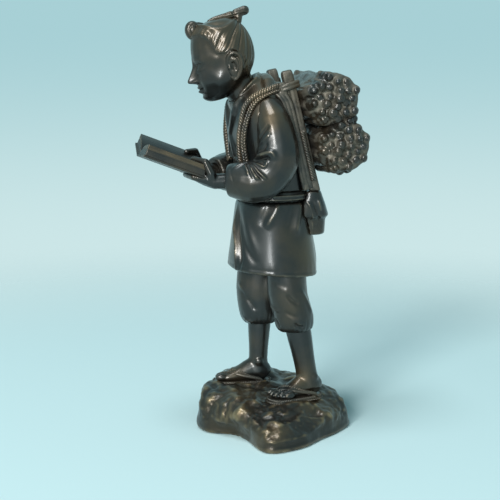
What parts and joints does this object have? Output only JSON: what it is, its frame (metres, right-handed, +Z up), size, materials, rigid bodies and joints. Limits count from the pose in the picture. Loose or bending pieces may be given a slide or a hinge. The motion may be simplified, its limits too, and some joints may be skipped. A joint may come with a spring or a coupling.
{
  "type": "figurine",
  "caption": "Dark bronzed figure of a walking child reading an open book, with firewood on a back frame and straw sandals, standing on a hollow rock base.",
  "frame": {"origin": "middle of the bounding box, on the plane of the base's rim", "axes": "+Z up, the figure walks towards -Y, its left side is +X"},
  "size_m": [0.1064, 0.1421, 0.2741],
  "materials": {
    "dark_bronze": "dark grey-brown patina with a soft wax sheen",
    "brown_bronze": "brown patina, rubbed lighter on high points",
    "steel": "plain zinc-grey"
  },
  "bodies": {
    "root": {"rock_base": "brown_bronze", "right_sandal": "brown_bronze", "left_sandal": "brown_bronze", "right_leg": "dark_bronze", "left_leg": "dark_bronze", "right_trouser_leg": "dark_bronze", "left_trouser_leg": "dark_bronze", "tunic_skirt": "dark_bronze", "waist_sash": "dark_bronze", "sash_bow": "dark_bronze", "tunic_body": "dark_bronze", "right_sleeve": "dark_bronze", "left_sleeve": "dark_bronze", "right_hand": "dark_bronze", "left_hand": "dark_bronze", "book": "dark_bronze", "head": "dark_bronze", "forelock": "brown_bronze", "topknot": "brown_bronze", "right_shoulder_rope": "brown_bronze", "left_shoulder_rope": "brown_bronze", "right_post_rope": "brown_bronze", "left_post_rope": "brown_bronze", "back_pad": "brown_bronze", "right_post": "brown_bronze", "left_post": "brown_bronze", "rungs": "brown_bronze", "upper_bundle": "brown_bronze", "lower_bundle": "brown_bronze", "foot_studs": "steel", "stud_washers": "steel", "stud_nuts": "steel"}
  },
  "joints": []
}
